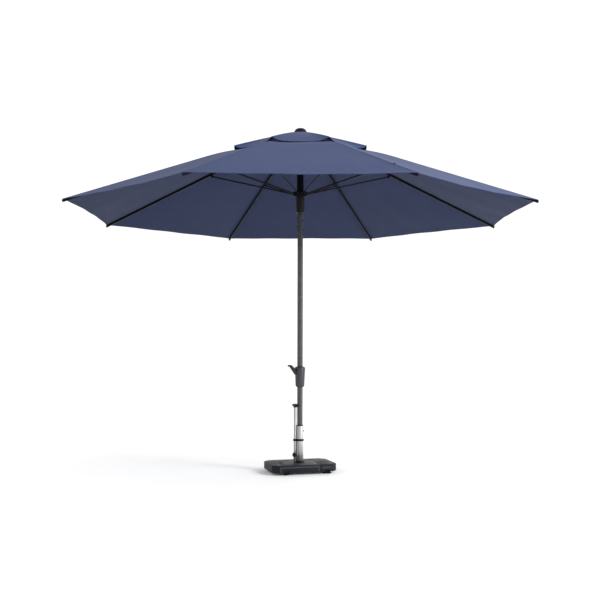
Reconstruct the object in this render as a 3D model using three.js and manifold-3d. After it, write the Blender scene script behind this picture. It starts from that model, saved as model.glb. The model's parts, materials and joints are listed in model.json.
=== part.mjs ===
// Round crank parasol on a rolling ballast base.
// Millimetres, +Z up. The mast's axis is the Z axis and the floor is z = 0. The front is -Y.
import * as THREE from "three";
import { mergeVertices } from "three/addons/utils/BufferGeometryUtils.js";
import Module from "manifold-3d";

const wasm = await Module();
wasm.setup();

// ---------------------------------------------------------------- driving dimensions
const RIB_COUNT = 8;
const CANOPY_RADIUS = 2000; // mast axis to rib tip
const HUB_PIVOT_HEIGHT = 2820;
const TIP_HEIGHT = HUB_PIVOT_HEIGHT - 613; // rib centreline at its tip
const KNEE_RADIUS = 700; // where a rib's two straight runs would meet
const KNEE_HEIGHT = HUB_PIVOT_HEIGHT - 130;
const KNEE_REACH = 130; // the bend takes this much of each run
const BRACKET_RADIUS = KNEE_RADIUS + KNEE_REACH + 35; // where a strut meets its rib
const BRACKET_DROP = 24; // strut pivot below the rib's centreline
const RIB_WIDTH = 14;
const RIB_HEIGHT = 20;
const RIB_WALL = 1.2;
const STRUT_DIAMETER = 13;
const STRUT_WALL = 1.2;
const EYE_PLATE = 5; // thickness of the flat eyes at rib and strut ends
const WIRE_DIAMETER = 4; // hinge rings of hub and runner
const PIN_DIAMETER = 5.6;

const HOUSING_BOTTOM = 721;
const HOUSING_HEIGHT = 176;
const POLE_DIAMETER = 48;
const POLE_WALL = 1.6;
const POLE_SPLIT_HEIGHT = HOUSING_BOTTOM + 99; // joint between lower and upper pole
const POLE_BOTTOM = 110;
const JOINER_LENGTH = 200;

const RUNNER_SLEEVE_DIAMETER = POLE_DIAMETER + 26;
const RUNNER_SLEEVE_LENGTH = 140; // below the lug disc
const RUNNER_NECK_DIAMETER = POLE_DIAMETER + 9;
const RUNNER_NECK_LENGTH = 150; // above the lug disc
const LUG_DIAMETER = RUNNER_SLEEVE_DIAMETER + 43;
const LUG_HEIGHT = 44;
const PIVOT_RADIUS = LUG_DIAMETER / 2 - 6.5; // hinge circle of the hub and of the runner
const HUB_HEIGHT = 26;
const HUB_COLLAR_DIAMETER = POLE_DIAMETER + 18;
const HUB_COLLAR_LENGTH = 34;
const PULLEY_DROP = 45; // pulley pin below the pole's top

const FABRIC = 1.2;
const OPENING_RADIUS = 0.4 * KNEE_RADIUS; // vent opening of the main canopy, at the ribs
const VENT_RADIUS = KNEE_RADIUS - 94; // vent cap corners
const VENT_SLOPE = 0.29;
const VENT_LIFT = 40; // vent cap corners above the main canopy
const VENT_HOLE_RADIUS = POLE_DIAMETER / 2 + 6;
const SCALLOP_DEPTH = 46; // hem drawn in at the middle of each panel
const PANEL_SAG = 14;

const HOUSING_TOP_RADIUS = POLE_DIAMETER / 2 + 21;
const HOUSING_FOOT_RADIUS = POLE_DIAMETER / 2 + 14;
const CRANK_HEIGHT = HOUSING_BOTTOM + 127;
const CRANK_REACH = 57; // shaft line to grip line
const CRANK_ANGLE = 35; // degrees that the shaft turns from -X towards the front
const CRANK_LEAN = 57; // how far the arm leans out from the housing
const CRANK_SHAFT_DIAMETER = 12;
const CRANK_ARM_DEPTH = 18;
const GRIP_PIN_DIAMETER = 7;

const BASE_YAW = 16.5;
const BASE_LENGTH = 560;
const BASE_WIDTH = 380;
const BASE_CORNER = 50;
const BASE_UNDERSIDE = 17;
const BASE_TOP = 82;
const SHELL_WALL = 4;
const WHEEL_DIAMETER = 60;
const WHEEL_WIDTH = 30;
const WHEEL_X = 118 - BASE_LENGTH / 2;
const AXLE_DIAMETER = 10;
const FOOT_DIAMETER = 72;
const FOOT_X = BASE_LENGTH / 2 - 85;
const FOOT_Y = BASE_WIDTH / 2 - 50;
const FOOT_DEPTH = 11; // how far a foot reaches into the base
const ARCH_SINK = 14; // centre of the side arches below the base's underside
const SEAM_X = FOOT_X - 72; // where the end cover starts

const BASE_TUBE_WALL = 2;
const BUSHING_WALL = 4;
const BASE_TUBE_DIAMETER = POLE_DIAMETER + 2 * (BUSHING_WALL + BASE_TUBE_WALL);
const BASE_TUBE_TOP = 390;
const FLANGE_DIAMETER = BASE_TUBE_DIAMETER + 32;
const FLANGE_HEIGHT = 13;
const HANDLE_DIAMETER = 25;
const HANDLE_TOP = 548;
const HANDLE_SOCKET_DEPTH = 30; // how far the handle's tube reaches into the base
const GRIP_LENGTH = 110;
const CLIP_HEIGHT = BASE_TUBE_TOP - 119;
const KNOB_DIAMETER = 40;
const KNOB_HEIGHT = BASE_TOP + 66;
const KNOB_AZIMUTH = 223;
const KNOB_STANDOFF = HANDLE_DIAMETER - 1; // base tube to the knob, which passes the handle
const KNOB_BOSS = 7; // base tube to the end of the knob's boss
const BOLT_HEIGHT = BASE_TUBE_TOP - 43;
const SCREW_HOLE = 5; // radius of the clamp screws' holes

const GAP = 0.4; // between pieces that touch
const SLIDE_GAP = 0.6; // between pieces that slide or turn
const ROUND = 20; // sides of an ordinary round piece

// ---------------------------------------------------------------- places worked out from them
const SECTOR = (2 * Math.PI) / RIB_COUNT;
const HALF_SECTOR = SECTOR / 2;
const radians = THREE.MathUtils.degToRad;

// Height of a rib's centreline at a distance from the mast.
function ribHeight(radius) {
  const inner = (HUB_PIVOT_HEIGHT - KNEE_HEIGHT) / (KNEE_RADIUS - PIVOT_RADIUS);
  const outer = (KNEE_HEIGHT - TIP_HEIGHT) / (CANOPY_RADIUS - KNEE_RADIUS);
  const past = radius - KNEE_RADIUS;
  if (past <= -KNEE_REACH) return KNEE_HEIGHT - inner * past;
  if (past >= KNEE_REACH) return KNEE_HEIGHT - outer * past;
  const share = (past + KNEE_REACH) / (2 * KNEE_REACH);
  const start = KNEE_HEIGHT + inner * KNEE_REACH;
  const end = KNEE_HEIGHT - outer * KNEE_REACH;
  return (1 - share) ** 2 * start + 2 * share * (1 - share) * KNEE_HEIGHT + share ** 2 * end;
}

const BRACKET_HEIGHT = ribHeight(BRACKET_RADIUS) - BRACKET_DROP;
// Rib and strut are equal arms, so the runner's pivot lies as far below the bracket as the hub's lies above.
const RUNNER_PIVOT_HEIGHT = 2 * BRACKET_HEIGHT - HUB_PIVOT_HEIGHT;
const OUTER_SLOPE = Math.atan2(KNEE_HEIGHT - TIP_HEIGHT, CANOPY_RADIUS - KNEE_RADIUS);
const RIDGE_FALL = (RIB_WIDTH / 2) * Math.tan(HALF_SECTOR) * Math.tan(OUTER_SLOPE);
const FABRIC_RISE = RIB_HEIGHT / 2 / Math.cos(OUTER_SLOPE) + RIDGE_FALL + 2 * GAP;
const SLOT_WIDTH = Math.max(RIB_WIDTH, STRUT_DIAMETER) + 2 * SLIDE_GAP + 1;
const SLOT_START = PIVOT_RADIUS - RIB_HEIGHT / 2 - 1;
const HANDLE_X = -(BASE_TUBE_DIAMETER + HANDLE_DIAMETER) / 2 - SLIDE_GAP;
const AXLE_HEIGHT = WHEEL_DIAMETER / 2;
const WHEEL_Y = BASE_WIDTH / 2 - SHELL_WALL - 8 - WHEEL_WIDTH / 2;
const POLE_TOP = HUB_PIVOT_HEIGHT + HUB_HEIGHT / 2;
const VENT_CORNER_HEIGHT = ribHeight(VENT_RADIUS) + FABRIC_RISE + VENT_LIFT;
const HOUSING_FACE = HOUSING_TOP_RADIUS + 1; // where the crank arm starts, clear of the housing

// ---------------------------------------------------------------- solids
function solid(geometry) {
  const bare = geometry.index ? geometry.toNonIndexed() : geometry.clone();
  bare.deleteAttribute("normal");
  bare.deleteAttribute("uv");
  const merged = mergeVertices(bare, 1e-3);
  const vertProperties = new Float32Array(merged.attributes.position.array);
  const triVerts = new Uint32Array(merged.index.array);
  return new wasm.Manifold(new wasm.Mesh({ numProp: 3, vertProperties, triVerts }));
}

function geometryOf(manifold) {
  const mesh = manifold.getMesh();
  const points = new Float32Array(mesh.numVert * 3);
  for (let i = 0; i < mesh.numVert; i++) {
    points.set(mesh.vertProperties.subarray(i * mesh.numProp, i * mesh.numProp + 3), i * 3);
  }
  const geometry = new THREE.BufferGeometry();
  geometry.setAttribute("position", new THREE.BufferAttribute(points, 3));
  geometry.setIndex(new THREE.BufferAttribute(new Uint32Array(mesh.triVerts), 1));
  geometry.computeVertexNormals();
  return geometry;
}

const join = (...geometries) => geometryOf(geometries.map(solid).reduce((a, b) => a.add(b)));

function cut(body, ...tools) {
  return geometryOf(tools.map(solid).reduce((left, tool) => left.subtract(tool), solid(body)));
}

// A round bar or disc along Z.
function disc(radius, low, high, sides = ROUND) {
  const geometry = new THREE.CylinderGeometry(radius, radius, high - low, sides);
  return geometry.rotateX(Math.PI / 2).translate(0, 0, (low + high) / 2);
}

// A profile of [radius, height] points turned about Z, listed anticlockwise.
// It starts and ends on the axis, or it is closed on itself.
function turned(profile, sides = ROUND) {
  const ring = profile[0][0] > 0 ? [...profile, profile[0]] : profile;
  const points = ring.map(([radius, height]) => new THREE.Vector2(radius, height));
  return new THREE.LatheGeometry(points, sides).rotateX(Math.PI / 2);
}

function pipe(outer, inner, low, high, sides = ROUND) {
  return turned(
    [
      [inner, low],
      [outer, low],
      [outer, high],
      [inner, high],
    ],
    sides,
  );
}

function block(x0, x1, y0, y1, z0, z1) {
  const geometry = new THREE.BoxGeometry(x1 - x0, y1 - y0, z1 - z0);
  return geometry.translate((x0 + x1) / 2, (y0 + y1) / 2, (z0 + z1) / 2);
}

// A round bar along Y, centred at (x, z) of the radial plane.
function crossBar(radius, x, z, halfLength, sides = 8) {
  return new THREE.CylinderGeometry(radius, radius, 2 * halfLength, sides).translate(x, 0, z);
}

// Turns a piece made along +Z so that it points outward along +X at a height.
function outward(geometry, height) {
  return geometry.rotateY(Math.PI / 2).translate(0, 0, height);
}

// An octagonal ring whose straight sides lie across the ribs' azimuths.
function wireRing(height, diameter) {
  const corner = PIVOT_RADIUS / Math.cos(HALF_SECTOR);
  return new THREE.TorusGeometry(corner, diameter / 2, 6, RIB_COUNT).translate(0, 0, height);
}

const ribAzimuth = (index) => HALF_SECTOR + index * SECTOR;

// One copy of a tool for each rib, turned to the rib's azimuth.
function aroundRibs(make) {
  return Array.from({ length: RIB_COUNT }, (_, index) => make().rotateZ(ribAzimuth(index)));
}

// ---------------------------------------------------------------- materials
const looks = {
  canopy: { color: 0x56618a, roughness: 0.9, metalness: 0 },
  rib: { color: 0x17181b, roughness: 0.5, metalness: 0.3 },
  pole: { color: 0x5a5d63, roughness: 0.4, metalness: 0.5 },
  housing: { color: 0x33353a, roughness: 0.55, metalness: 0 },
  steel: { color: 0xb9bbbd, roughness: 0.3, metalness: 1 },
  plastic: { color: 0x1c1d1f, roughness: 0.6, metalness: 0 },
  ballast: { color: 0x8d8a84, roughness: 0.95, metalness: 0 },
  rubber: { color: 0x121212, roughness: 0.9, metalness: 0 },
};

const parasol = new THREE.Group();
parasol.name = "patio_umbrella";
const baseGroup = new THREE.Group();
baseGroup.rotation.z = radians(BASE_YAW);
parasol.add(baseGroup);

function place(name, look, geometry, group = parasol) {
  const mesh = new THREE.Mesh(geometry, new THREE.MeshStandardMaterial(looks[look]));
  mesh.name = name;
  group.add(mesh);
  return mesh;
}

// ---------------------------------------------------------------- canopy frame
// A rib's centreline in its radial plane (X out, Z up).
class RibLine extends THREE.Curve {
  constructor(start) {
    super();
    this.start = start;
  }
  getPoint(share, target = new THREE.Vector3()) {
    const radius = this.start + share * (CANOPY_RADIUS - this.start);
    return target.set(radius, 0, ribHeight(radius));
  }
}

function sectionWithBore(width, height, wall) {
  const rectangle = (path, x, y) => path.moveTo(-x, -y).lineTo(x, -y).lineTo(x, y).lineTo(-x, y).closePath();
  const section = rectangle(new THREE.Shape(), width / 2, height / 2);
  section.holes.push(rectangle(new THREE.Path(), width / 2 - wall, height / 2 - wall));
  return section;
}

// A flat plate in the radial plane from a pivot towards a slope angle, with a round eye about the pivot.
function eyePlate(x, z, angle, length, halfHeight) {
  const plate = block(0, length, -EYE_PLATE / 2, EYE_PLATE / 2, -halfHeight, halfHeight);
  plate.rotateY(-angle).translate(x, 0, z);
  return join(plate, crossBar(halfHeight, x, z, EYE_PLATE / 2, 10));
}

const RIB_EYE_RADIUS = RIB_HEIGHT / 2 - RIB_WALL / 2;
const STRUT_EYE_RADIUS = STRUT_DIAMETER / 2 - STRUT_WALL / 2;
const EYE_LENGTH = 34;
const TUBE_START = 20; // pivot to the start of a rib's or a strut's tube
const CHEEK = 2.6;

function ribGeometry() {
  const inner = Math.atan2(KNEE_HEIGHT - HUB_PIVOT_HEIGHT, KNEE_RADIUS - PIVOT_RADIUS);
  const tube = new THREE.ExtrudeGeometry(sectionWithBore(RIB_WIDTH, RIB_HEIGHT, RIB_WALL), {
    steps: 9,
    bevelEnabled: false,
    extrudePath: new RibLine(PIVOT_RADIUS + TUBE_START),
  });
  const eye = eyePlate(PIVOT_RADIUS, HUB_PIVOT_HEIGHT, inner, EYE_LENGTH, RIB_EYE_RADIUS);
  // Two cheeks hang from the rib's sides and carry the strut's pin.
  const inside = EYE_PLATE / 2 + SLIDE_GAP;
  const cheek = (side) => {
    const edges = [side * inside, side * (inside + CHEEK)].sort((a, b) => a - b);
    const top = BRACKET_DROP - RIB_HEIGHT / 2 + 0.6;
    return block(-9, 9, edges[0], edges[1], -STRUT_EYE_RADIUS - 2, top);
  };
  const slope = Math.atan2(ribHeight(BRACKET_RADIUS + 9) - ribHeight(BRACKET_RADIUS - 9), 18);
  const cheeks = [cheek(1), cheek(-1)].map((plate) =>
    plate.rotateY(-slope).translate(BRACKET_RADIUS, 0, BRACKET_HEIGHT),
  );
  const pin = crossBar(PIN_DIAMETER / 2, BRACKET_RADIUS, BRACKET_HEIGHT, inside + CHEEK + 1);
  const bar = join(tube, eye, ...cheeks, pin);
  return cut(bar, crossBar(WIRE_DIAMETER / 2 + SLIDE_GAP, PIVOT_RADIUS, HUB_PIVOT_HEIGHT, 10));
}

function strutGeometry() {
  const rise = BRACKET_HEIGHT - RUNNER_PIVOT_HEIGHT;
  const run = BRACKET_RADIUS - PIVOT_RADIUS;
  const angle = Math.atan2(rise, run);
  const length = Math.hypot(rise, run);
  const radius = STRUT_DIAMETER / 2;
  const tube = pipe(radius, radius - STRUT_WALL, TUBE_START, length - TUBE_START, 10);
  tube.rotateY(Math.PI / 2 - angle).translate(PIVOT_RADIUS, 0, RUNNER_PIVOT_HEIGHT);
  const low = eyePlate(PIVOT_RADIUS, RUNNER_PIVOT_HEIGHT, angle, EYE_LENGTH, STRUT_EYE_RADIUS);
  const high = eyePlate(BRACKET_RADIUS, BRACKET_HEIGHT, angle + Math.PI, EYE_LENGTH, STRUT_EYE_RADIUS);
  return cut(
    join(tube, low, high),
    crossBar(WIRE_DIAMETER / 2 + SLIDE_GAP, PIVOT_RADIUS, RUNNER_PIVOT_HEIGHT, 10),
    crossBar(PIN_DIAMETER / 2 + SLIDE_GAP, BRACKET_RADIUS, BRACKET_HEIGHT, 10),
  );
}

// A point of a panel: reach is measured along the rib, across runs from 0 on the rib to 1 at mid-panel.
// The result is in the rib's own frame, with the rib along +X.
function panelPoint(reach, across, side) {
  const along = reach * Math.cos(HALF_SECTOR);
  const lateral = Math.max(reach * Math.sin(HALF_SECTOR) * (1 - across), GAP);
  const x = along * Math.cos(HALF_SECTOR) + lateral * Math.sin(HALF_SECTOR);
  const y = side * (along * Math.sin(HALF_SECTOR) - lateral * Math.cos(HALF_SECTOR));
  return [x, y];
}

const crown = (across) => across * (2 - across); // 0 on the rib, 1 and level at mid-panel

// Rows of the canopy's grid: close together over the rib's bend, then even to the hem.
function rowReach(row, edge) {
  const bendEnd = KNEE_RADIUS + KNEE_REACH;
  const bend = [-1, -1 / 3, 1 / 3, 1].map((share) => KNEE_RADIUS + share * KNEE_REACH);
  const rows = [OPENING_RADIUS, ...bend];
  if (row < rows.length) return rows[row];
  return bendEnd + ((row - rows.length + 1) / (CANOPY_ROWS - rows.length + 1)) * (edge - bendEnd);
}

const CANOPY_ROWS = 7;
const HALF_COLUMNS = 3; // columns of the canopy's grid from mid-panel to the rib

// A sheet of cloth as a closed solid. The function at(row, column) gives a point of its underside.
// Both sides are split along the same diagonals, so the sheet is equally thick everywhere.
function clothSheet(rows, columns, isRing, at) {
  const wide = isRing ? columns : columns + 1;
  const points = [];
  for (const lift of [0, FABRIC]) {
    for (let row = 0; row <= rows; row++) {
      for (let column = 0; column < wide; column++) {
        const [x, y, z] = at(row, column);
        points.push(x, y, z + lift);
      }
    }
  }
  const under = (row, column) => row * wide + (column % wide);
  const over = (row, column) => under(row, column) + (rows + 1) * wide;
  const faces = [];
  for (let row = 0; row < rows; row++) {
    for (let column = 0; column < columns; column++) {
      const cell = [
        [row, column],
        [row + 1, column],
        [row + 1, column + 1],
        [row, column + 1],
      ];
      for (const [i, j, k] of [
        [0, 1, 2],
        [0, 2, 3],
      ]) {
        faces.push(over(...cell[i]), over(...cell[j]), over(...cell[k]));
        faces.push(under(...cell[k]), under(...cell[j]), under(...cell[i]));
      }
    }
  }
  const rim = (start, end) => {
    faces.push(under(...start), under(...end), over(...end));
    faces.push(under(...start), over(...end), over(...start));
  };
  for (let column = 0; column < columns; column++) {
    rim([0, column + 1], [0, column]);
    rim([rows, column], [rows, column + 1]);
  }
  for (let row = 0; row < rows && !isRing; row++) {
    rim([row, 0], [row + 1, 0]);
    rim([row + 1, columns], [row, columns]);
  }
  const sheet = new THREE.BufferGeometry();
  sheet.setAttribute("position", new THREE.Float32BufferAttribute(points, 3));
  sheet.setIndex(faces);
  sheet.computeVertexNormals();
  return sheet;
}

function canopySector() {
  return clothSheet(CANOPY_ROWS, 2 * HALF_COLUMNS, false, (row, column) => {
    const across = Math.abs(column / HALF_COLUMNS - 1);
    const side = Math.sign(column - HALF_COLUMNS) || 1;
    const edge = CANOPY_RADIUS - SCALLOP_DEPTH * crown(across);
    const reach = rowReach(row, edge);
    const [x, y] = panelPoint(reach, across, side);
    const sag = PANEL_SAG * crown(across) * Math.sin((Math.PI * row) / CANOPY_ROWS);
    return [x, y, ribHeight(reach) + FABRIC_RISE - sag];
  });
}

const VENT_ROWS = 4;
const VENT_COLUMNS = 4; // for each rib

function ventCap() {
  return clothSheet(VENT_ROWS, VENT_COLUMNS * RIB_COUNT, true, (row, column) => {
    const reach = VENT_HOLE_RADIUS + ((VENT_RADIUS - VENT_HOLE_RADIUS) * row) / VENT_ROWS;
    const azimuth = (column / VENT_COLUMNS) * SECTOR;
    const fromRib = Math.abs(THREE.MathUtils.euclideanModulo(azimuth, SECTOR) - HALF_SECTOR);
    // The straight chord between two corners, in polar form.
    const shrink = Math.cos(HALF_SECTOR) / Math.cos(HALF_SECTOR - fromRib);
    const across = 1 - Math.tan(HALF_SECTOR - fromRib) / Math.tan(HALF_SECTOR);
    const droop = 0.8 * VENT_LIFT * crown(across) * (reach / VENT_RADIUS) ** 2;
    const height = VENT_CORNER_HEIGHT + VENT_SLOPE * (VENT_RADIUS - reach) - droop;
    return [reach * shrink * Math.cos(azimuth), reach * shrink * Math.sin(azimuth), height];
  });
}

function buildCanopy() {
  for (let index = 0; index < RIB_COUNT; index++) {
    const arm = new THREE.Group();
    arm.rotation.z = ribAzimuth(index);
    parasol.add(arm);
    place(`rib_${index + 1}`, "rib", ribGeometry(), arm);
    place(`strut_${index + 1}`, "rib", strutGeometry(), arm);
    place(`canopy_sector_${index + 1}`, "canopy", canopySector(), arm);
  }
  place("vent_cap", "canopy", ventCap());
}

// ---------------------------------------------------------------- hub, runner and finial
function slottedDisc(outer, height, halfHeight) {
  const low = height - halfHeight - 1;
  const high = height + halfHeight + 1;
  const slots = aroundRibs(() => block(SLOT_START, outer + 1, -SLOT_WIDTH / 2, SLOT_WIDTH / 2, low, high));
  return { slots, groove: wireRing(height, WIRE_DIAMETER + 2 * GAP) };
}

function topHub() {
  const bore = POLE_DIAMETER / 2 + GAP;
  const low = HUB_PIVOT_HEIGHT - HUB_HEIGHT / 2;
  const high = HUB_PIVOT_HEIGHT + HUB_HEIGHT / 2;
  const body = turned([
    [bore, low - HUB_COLLAR_LENGTH],
    [HUB_COLLAR_DIAMETER / 2, low - HUB_COLLAR_LENGTH],
    [HUB_COLLAR_DIAMETER / 2, low - 3],
    [LUG_DIAMETER / 2 + 1, low],
    [LUG_DIAMETER / 2 + 1, high - 4],
    [LUG_DIAMETER / 2 - 3, high],
    [bore, high],
  ]);
  const { slots, groove } = slottedDisc(LUG_DIAMETER / 2 + 2, HUB_PIVOT_HEIGHT, HUB_HEIGHT / 2 + 3);
  return cut(body, ...slots, groove);
}

function runnerBody() {
  const bore = POLE_DIAMETER / 2 + SLIDE_GAP;
  const low = RUNNER_PIVOT_HEIGHT - LUG_HEIGHT / 2;
  const high = RUNNER_PIVOT_HEIGHT + LUG_HEIGHT / 2;
  const sleeve = RUNNER_SLEEVE_DIAMETER / 2;
  const body = turned([
    [bore, low - RUNNER_SLEEVE_LENGTH],
    [sleeve - 2, low - RUNNER_SLEEVE_LENGTH],
    [sleeve, low - RUNNER_SLEEVE_LENGTH + 3],
    [sleeve, low - 12],
    [sleeve + 5, low - 10],
    [sleeve + 5, low],
    [LUG_DIAMETER / 2 - 3, low],
    [LUG_DIAMETER / 2, low + 3],
    [LUG_DIAMETER / 2, high - 3],
    [LUG_DIAMETER / 2 - 3, high],
    [sleeve, high],
    [RUNNER_NECK_DIAMETER / 2, high + 8],
    [RUNNER_NECK_DIAMETER / 2, high + RUNNER_NECK_LENGTH],
    [bore, high + RUNNER_NECK_LENGTH],
  ]);
  const { slots, groove } = slottedDisc(LUG_DIAMETER / 2, RUNNER_PIVOT_HEIGHT, LUG_HEIGHT / 2);
  return cut(body, ...slots, groove);
}

function finialCap() {
  const seat = POLE_TOP + GAP;
  const brim = VENT_CORNER_HEIGHT + VENT_SLOPE * (VENT_RADIUS - VENT_HOLE_RADIUS) + FABRIC + 1.5;
  const stem = VENT_HOLE_RADIUS - 4;
  const profile = [
    [0, seat],
    [stem, seat],
    [stem, brim],
    [55, brim],
    [54, brim + 7],
  ];
  for (let step = 1; step <= 5; step++) {
    const angle = (step / 5) * (Math.PI / 2);
    profile.push([52 * Math.cos(angle), brim + 9 + 30 * Math.sin(angle)]);
  }
  profile[profile.length - 1][0] = 0;
  return turned(profile);
}

function buildMast() {
  const outer = POLE_DIAMETER / 2;
  const inner = outer - POLE_WALL;
  const pulleyHeight = POLE_TOP - PULLEY_DROP;
  const pulleyRim = inner - 6.4;
  place("lower_pole", "pole", pipe(outer, inner, POLE_BOTTOM, POLE_SPLIT_HEIGHT));
  const pinHole = outward(disc(2.5 + GAP, -outer - 5, outer + 5, 10), pulleyHeight);
  const crankHole = outward(disc(7, -outer - 5, 0, 12), CRANK_HEIGHT);
  crankHole.rotateZ(radians(CRANK_ANGLE));
  place(
    "upper_pole",
    "pole",
    cut(pipe(outer, inner, POLE_SPLIT_HEIGHT + GAP, POLE_TOP), pinHole, crankHole),
  );
  const joinerBottom = POLE_SPLIT_HEIGHT - JOINER_LENGTH + 30;
  const joinerTop = POLE_SPLIT_HEIGHT + 30;
  place("pole_joiner", "steel", pipe(inner - GAP, inner - 2.4, joinerBottom, joinerTop));
  place("top_hub", "rib", topHub());
  place("hub_wire_ring", "steel", wireRing(HUB_PIVOT_HEIGHT, WIRE_DIAMETER));
  place("finial", "rib", finialCap());
  const wheel = turned([
    [3.2, -6],
    [pulleyRim, -6],
    [pulleyRim - 3, -1.5],
    [pulleyRim - 3, 1.5],
    [pulleyRim, 6],
    [3.2, 6],
  ]);
  place("pulley", "plastic", outward(wheel, pulleyHeight));
  place("pulley_pin", "steel", outward(disc(2.5, -outer, outer, 10), pulleyHeight));
  place("runner", "rib", runnerBody());
  place("runner_wire_ring", "steel", wireRing(RUNNER_PIVOT_HEIGHT, WIRE_DIAMETER));
}

// ---------------------------------------------------------------- crank
function housingHalf(side) {
  const top = HOUSING_BOTTOM + HOUSING_HEIGHT;
  const hole = POLE_DIAMETER / 2 + GAP;
  const round = 14;
  const profile = [[hole, HOUSING_BOTTOM]];
  for (let step = 0; step <= 3; step++) {
    const angle = (step / 3) * (Math.PI / 2);
    const reach = HOUSING_FOOT_RADIUS - round + round * Math.sin(angle);
    profile.push([reach, HOUSING_BOTTOM + round - round * Math.cos(angle)]);
  }
  for (let step = 0; step <= 3; step++) {
    const angle = (step / 3) * (Math.PI / 2);
    const reach = HOUSING_TOP_RADIUS - round + round * Math.cos(angle);
    profile.push([reach, top - round + round * Math.sin(angle)]);
  }
  profile.push([hole, top]);
  const shell = turned(profile, ROUND);
  const halfSpace = side > 0 ? block(-80, 80, GAP / 2, 80, 0, 2000) : block(-80, 80, -80, -GAP / 2, 0, 2000);
  const pocket = outward(disc(17, -HOUSING_TOP_RADIUS + 5, -10), CRANK_HEIGHT);
  const mouth = outward(disc(7, -HOUSING_TOP_RADIUS - 5, -20, 20), CRANK_HEIGHT);
  return geometryOf(solid(shell).intersect(solid(halfSpace)).subtract(solid(pocket)).subtract(solid(mouth)));
}

// Shaft and spool in one piece, along -X.
function crankSpool() {
  const start = POLE_DIAMETER / 2 + 1;
  const end = HOUSING_FACE + 18;
  const shaft = CRANK_SHAFT_DIAMETER / 2;
  const cheekRadius = 14.5;
  const coreRadius = 9;
  const profile = [
    [0, start],
    [cheekRadius, start],
    [cheekRadius, start + 2],
    [coreRadius, start + 3],
    [coreRadius, start + 8],
    [cheekRadius, start + 9],
    [cheekRadius, start + 11],
    [shaft, start + 11],
    [shaft, end],
    [0, end],
  ];
  return turned(profile).rotateY(-Math.PI / 2).translate(0, 0, CRANK_HEIGHT);
}

const GRIP_HEIGHT = CRANK_HEIGHT + CRANK_REACH;
const ARM_END = HOUSING_FACE + CRANK_LEAN; // distance of the grip's pin root from the mast's axis

// A tapered lever that leans away from the housing, with the grip's pin at its end.
function crankArm() {
  const outline = new THREE.Shape();
  const corners = [
    [-HOUSING_FACE, -20],
    [-HOUSING_FACE - 6, -20],
    [-ARM_END - 5, CRANK_REACH - 7],
    [-ARM_END - 4, CRANK_REACH + 6],
    [-ARM_END + 10, CRANK_REACH + 7],
    [-HOUSING_FACE - 6, 32],
    [-HOUSING_FACE, 27],
  ];
  corners.forEach(([x, z], i) => (i ? outline.lineTo(x, z) : outline.moveTo(x, z)));
  outline.closePath();
  const bevel = 3;
  const depth = CRANK_ARM_DEPTH - 2 * bevel;
  const bar = new THREE.ExtrudeGeometry(outline, {
    depth,
    steps: 1,
    bevelThickness: bevel,
    bevelSize: 2,
    bevelOffset: -2,
    bevelSegments: 2,
  });
  bar.translate(0, 0, -depth / 2).rotateX(Math.PI / 2).translate(0, 0, CRANK_HEIGHT);
  const radius = GRIP_PIN_DIAMETER / 2;
  const pin = outward(disc(radius, -ARM_END - 18, -ARM_END + 8, 16), GRIP_HEIGHT);
  const shaftEnd = HOUSING_FACE + 18 + GAP;
  const bore = outward(disc(CRANK_SHAFT_DIAMETER / 2 + GAP, -shaftEnd, -HOUSING_FACE + 1), CRANK_HEIGHT);
  return cut(join(bar, pin), bore);
}

function crankGrip() {
  const bore = GRIP_PIN_DIAMETER / 2 + SLIDE_GAP;
  const start = ARM_END + 5 + SLIDE_GAP;
  const sleeve = turned(
    [
      [bore, start],
      [6.5, start],
      [7.5, start + 2],
      [8, start + 12],
      [6.5, start + 16],
      [bore, start + 16],
    ],
    24,
  );
  return sleeve.rotateY(-Math.PI / 2).translate(0, 0, GRIP_HEIGHT);
}

function buildCrank() {
  const turnedGroup = new THREE.Group();
  turnedGroup.rotation.z = radians(CRANK_ANGLE);
  parasol.add(turnedGroup);
  place("crank_housing_front", "housing", housingHalf(-1), turnedGroup);
  place("crank_housing_back", "housing", housingHalf(1), turnedGroup);
  place("crank_spool", "steel", crankSpool(), turnedGroup);
  place("crank_arm", "housing", crankArm(), turnedGroup);
  place("crank_grip", "plastic", crankGrip(), turnedGroup);
}

// ---------------------------------------------------------------- base
function baseOutline(inset) {
  const x = BASE_LENGTH / 2 - inset;
  const y = BASE_WIDTH / 2 - inset;
  const c = BASE_CORNER - inset * (2 - Math.SQRT2);
  const outline = new THREE.Shape();
  outline.moveTo(-x + c, -y).lineTo(x - c, -y).lineTo(x, -y + c).lineTo(x, y - c);
  outline.lineTo(x - c, y).lineTo(-x + c, y).lineTo(-x, y - c).lineTo(-x, -y + c).closePath();
  return outline;
}

function slab(inset, low, high, bevel = 0) {
  const geometry = new THREE.ExtrudeGeometry(baseOutline(inset), {
    depth: high - low - 2 * bevel,
    steps: 1,
    bevelEnabled: bevel > 0,
    bevelThickness: bevel,
    bevelSize: bevel,
    bevelOffset: -bevel,
    bevelSegments: 3,
  });
  return geometry.translate(0, 0, low + bevel);
}

// Room for the wheels inside the ballast, open below and at the side.
function wheelWells(margin) {
  const reach = WHEEL_DIAMETER / 2 + 2 + margin;
  const inside = WHEEL_Y - WHEEL_WIDTH / 2 - margin;
  const top = AXLE_HEIGHT + WHEEL_DIAMETER / 2 + margin;
  return [1, -1].map((side) => {
    const edges = [side * inside, side * (BASE_WIDTH / 2 + 1)].sort((a, b) => a - b);
    return block(WHEEL_X - reach, WHEEL_X + reach, edges[0], edges[1], BASE_UNDERSIDE - 1, top);
  });
}

function footRoom(margin) {
  const top = BASE_UNDERSIDE + FOOT_DEPTH + margin;
  return [1, -1].map((side) =>
    disc(FOOT_DIAMETER / 2 + margin, BASE_UNDERSIDE - 1, top, 24).translate(FOOT_X, side * FOOT_Y, 0),
  );
}

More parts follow.
